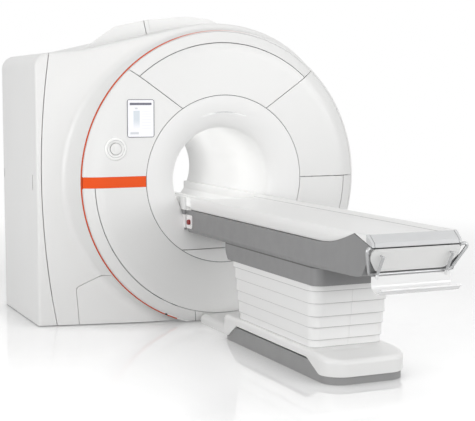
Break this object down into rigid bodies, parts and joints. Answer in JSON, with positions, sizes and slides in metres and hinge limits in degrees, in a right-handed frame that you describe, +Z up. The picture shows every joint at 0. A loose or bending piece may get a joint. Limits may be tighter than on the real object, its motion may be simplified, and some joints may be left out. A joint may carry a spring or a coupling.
{
  "type": "mri scanner",
  "caption": "Round-faced magnetic resonance scanner with a through bore, a telescoping lift table docked in front and a sliding tabletop that runs into the bore.",
  "frame": {"origin": "on the floor, under the bore axis, in the plane of the gantry's flat front face (the underside of the docking base)", "axes": "+X to the right across the bore seen from the table, +Y from the table into the bore, +Z up"},
  "size_m": [2.302, 4.088, 2.0978],
  "materials": {
    "cover_white": "gloss",
    "cover_shade": "satin",
    "accent_orange": "satin",
    "screen_dark": "gloss",
    "window_dark": "gloss",
    "control_white": "gloss",
    "table_grey": "satin",
    "plinth_grey": "matte",
    "bed_white": "satin",
    "cap_grey": "satin",
    "tray_clear": "gloss",
    "rod_grey": "satin",
    "stop_red": "gloss",
    "frame_steel": "satin",
    "vessel_steel": "brushed",
    "shield_aluminium": "plain",
    "winding_copper": "plain",
    "coil_resin": "cast",
    "rail_plastic": "matte"
  },
  "bodies": {
    "gantry": {"front_panel_top": "cover_white", "rim_cover_top": "cover_white", "front_panel_left": "cover_white", "front_panel_right": "cover_white", "front_panel_lower": "cover_white", "rim_cover_lower_left": "cover_white", "rim_cover_lower_right": "cover_white", "toe_panel": "cover_white", "flare_front": "cover_white", "flare_lower_insert": "cover_white", "flare_rear": "cover_white", "bore_tube": "cover_white", "body_cover_front": "cover_white", "side_cover_left": "cover_white", "access_panel": "cover_white", "dome_cover_left": "cover_white", "dome_cover_right": "cover_white", "rear_cover": "cover_white", "base_cover": "cover_white", "docking_base": "cover_white", "skirt_1": "cover_white", "bore_bridge": "cover_shade", "accent_band": "accent_orange", "accent_ring": "accent_orange", "display_screen": "screen_dark", "laser_window": "window_dark", "display_bezel": "control_white", "dial_bezel": "control_white", "base_plinth": "plinth_grey", "front_frame": "frame_steel", "magnet_feet": "frame_steel", "column_outer": "frame_steel", "lift_motor": "frame_steel", "vacuum_vessel": "vessel_steel", "helium_vessel": "vessel_steel", "cold_head": "vessel_steel", "radiation_shield": "shield_aluminium", "main_windings": "winding_copper", "gradient_coil": "coil_resin", "rf_body_coil": "coil_resin"},
    "table": {"skirt_collar": "cover_white", "table_tub": "table_grey", "table_body": "table_grey", "slide_rails": "rail_plastic", "end_panel": "cover_white", "loop_handle": "rod_grey", "foot_tray": "tray_clear", "estop_plates": "control_white", "column_inner": "frame_steel"},
    "skirt_ring_2": {"skirt_2": "cover_white"},
    "skirt_ring_3": {"skirt_3": "cover_white"},
    "skirt_ring_4": {"skirt_4": "cover_white"},
    "skirt_ring_5": {"skirt_5": "cover_white"},
    "column_stage": {"column_middle": "frame_steel"},
    "tabletop": {"tabletop": "bed_white", "tabletop_end_cap": "cap_grey"},
    "dial": {"dial_ring": "control_white"},
    "dial_push": {"dial_button": "control_white"},
    "stop_left": {"estop_button_left": "stop_red"},
    "stop_right": {"estop_button_right": "stop_red"}
  },
  "joints": [
    {"name": "table_lift", "type": "slide", "parent": "gantry", "child": "table", "axis": [0, 0, 1], "range_m": [-0.32, 0]},
    {"name": "skirt_2_follow", "type": "slide", "parent": "gantry", "child": "skirt_ring_2", "axis": [0, 0, 1], "range_m": [-0.04, 0]},
    {"name": "skirt_3_follow", "type": "slide", "parent": "gantry", "child": "skirt_ring_3", "axis": [0, 0, 1], "range_m": [-0.112, 0]},
    {"name": "skirt_4_follow", "type": "slide", "parent": "gantry", "child": "skirt_ring_4", "axis": [0, 0, 1], "range_m": [-0.176, 0]},
    {"name": "skirt_5_follow", "type": "slide", "parent": "gantry", "child": "skirt_ring_5", "axis": [0, 0, 1], "range_m": [-0.25, 0]},
    {"name": "column_follow", "type": "slide", "parent": "gantry", "child": "column_stage", "axis": [0, 0, 1], "range_m": [-0.16, 0]},
    {"name": "tabletop_slide", "type": "slide", "parent": "table", "child": "tabletop", "axis": [0, 1, 0], "range_m": [0, 1.55]},
    {"name": "dial_turn", "type": "hinge", "parent": "gantry", "child": "dial", "pos_m": [-0.784, 0, 1.199], "axis": [0, 1, 0], "continuous": true},
    {"name": "dial_press", "type": "slide", "parent": "gantry", "child": "dial_push", "axis": [0, 1, 0], "range_m": [0, 0.003], "stiffness_N_per_m": 900},
    {"name": "stop_left_press", "type": "slide", "parent": "table", "child": "stop_left", "axis": [1, 0, 0], "range_m": [0, 0.004], "stiffness_N_per_m": 900},
    {"name": "stop_right_press", "type": "slide", "parent": "table", "child": "stop_right", "axis": [-1, 0, 0], "range_m": [0, 0.004], "stiffness_N_per_m": 900}
  ],
  "couplings": [
    {"joint": "skirt_2_follow", "follows": "table_lift", "ratio": 0.125},
    {"joint": "skirt_3_follow", "follows": "table_lift", "ratio": 0.35},
    {"joint": "skirt_4_follow", "follows": "table_lift", "ratio": 0.55},
    {"joint": "skirt_5_follow", "follows": "table_lift", "ratio": 0.78125},
    {"joint": "column_follow", "follows": "table_lift", "ratio": 0.5}
  ]
}
